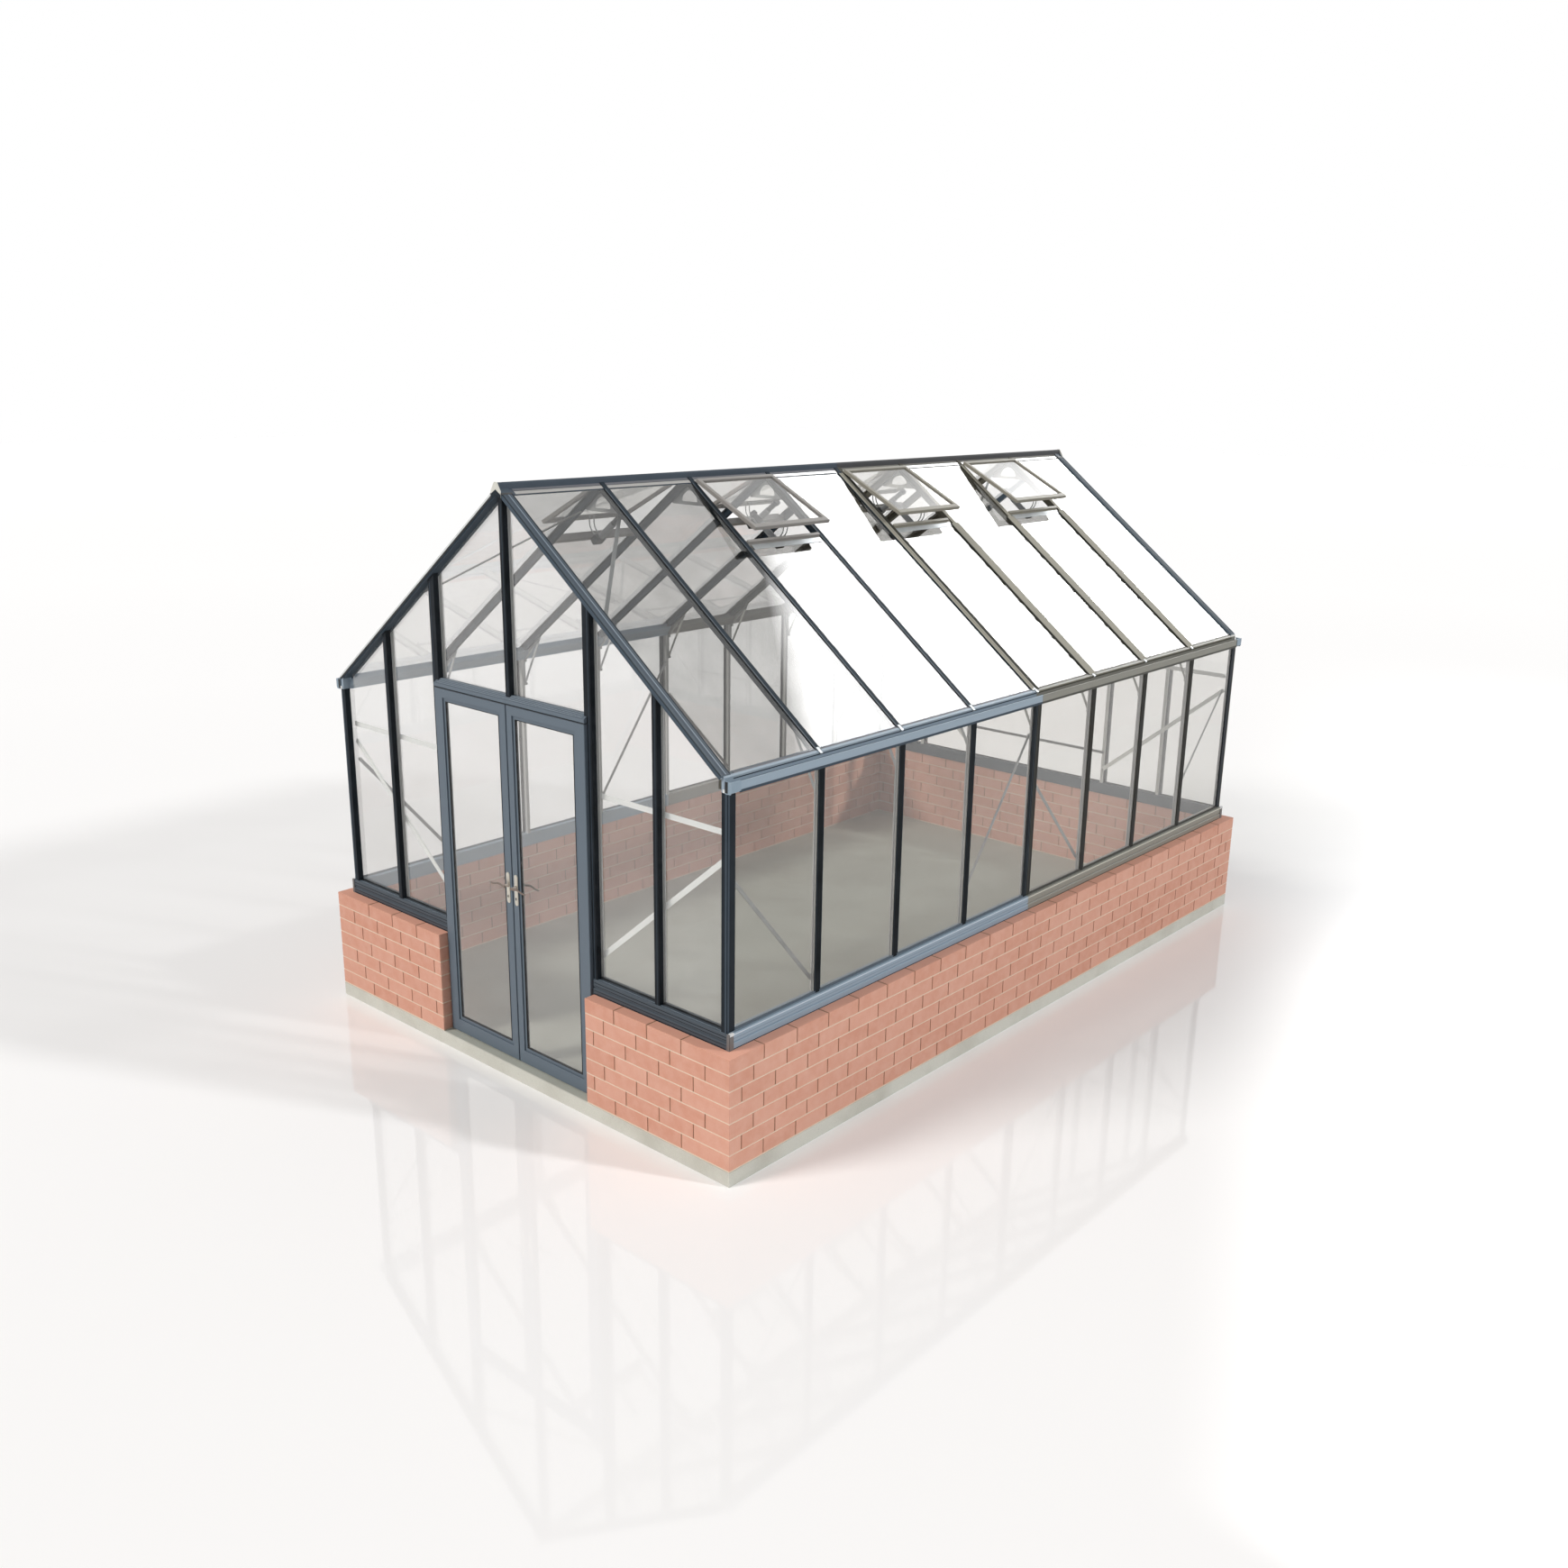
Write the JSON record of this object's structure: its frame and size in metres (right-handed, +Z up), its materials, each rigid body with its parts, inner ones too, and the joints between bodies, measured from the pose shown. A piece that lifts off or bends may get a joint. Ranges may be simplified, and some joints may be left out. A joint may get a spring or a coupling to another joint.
{
  "type": "greenhouse",
  "caption": "Aluminium-framed glass greenhouse on a low brick wall, with a pitched roof, tilted roof vents, gutters and double doors in the gable.",
  "frame": {"origin": "centre of the footprint, on the ground under the slab", "axes": "+Z up, +X across the gables towards the right-hand wall, +Y from the door gable to the back gable"},
  "size_m": [3.168, 5.126, 3.094],
  "materials": {
    "concrete": "smooth cast concrete",
    "brick": "light red facing brick with pale mortar",
    "frame_paint": "powder-coated aluminium, blue grey",
    "cap_grey": "moulded light grey end caps",
    "bare_aluminium": "mill finish",
    "pane": "clear float glass",
    "opener_black": "black opener cylinders and brackets",
    "handle_steel": "satin stainless steel"
  },
  "bodies": {
    "house": {"slab": "concrete", "wall_left": "brick", "wall_right": "brick", "wall_back": "brick", "wall_front_left": "brick", "wall_front_right": "brick", "sill_left": "frame_paint", "sill_right": "frame_paint", "sill_back": "frame_paint", "sill_front": "frame_paint", "corner_posts": "frame_paint", "bars_left": "frame_paint", "bars_right": "frame_paint", "bars_front": "frame_paint", "bars_back": "frame_paint", "door_posts": "frame_paint", "door_head": "frame_paint", "threshold": "frame_paint", "gutter_left": "frame_paint", "gutter_right": "frame_paint", "ridge": "frame_paint", "end_caps": "cap_grey", "gable_rafters": "frame_paint", "roof_bars_left": "frame_paint", "roof_bars_right": "frame_paint", "glass_left": "pane", "glass_right": "pane", "glass_front": "pane", "glass_back": "pane", "glass_roof_left": "pane", "glass_roof_right": "pane", "vent_frames": "frame_paint", "vent_glass": "pane", "vent_cills": "frame_paint", "vent_flashings": "bare_aluminium", "vent_openers": "opener_black", "ridge_gussets": "frame_paint", "eaves_knees": "frame_paint", "bracing_straps": "bare_aluminium", "glazing_clips": "bare_aluminium"},
    "door_left": {"door_left_frame": "frame_paint", "door_left_glass": "pane", "door_left_handle": "handle_steel"},
    "door_right": {"door_right_frame": "frame_paint", "door_right_glass": "pane", "door_right_handle": "handle_steel"}
  },
  "joints": [
    {"name": "door_left_hinge", "type": "hinge", "parent": "house", "child": "door_left", "pos_m": [-0.587, -2.513, 1], "axis": [0, 0, -1], "range_deg": [0, 90]},
    {"name": "door_right_hinge", "type": "hinge", "parent": "house", "child": "door_right", "pos_m": [0.587, -2.513, 1], "axis": [0, 0, 1], "range_deg": [0, 90]}
  ]
}
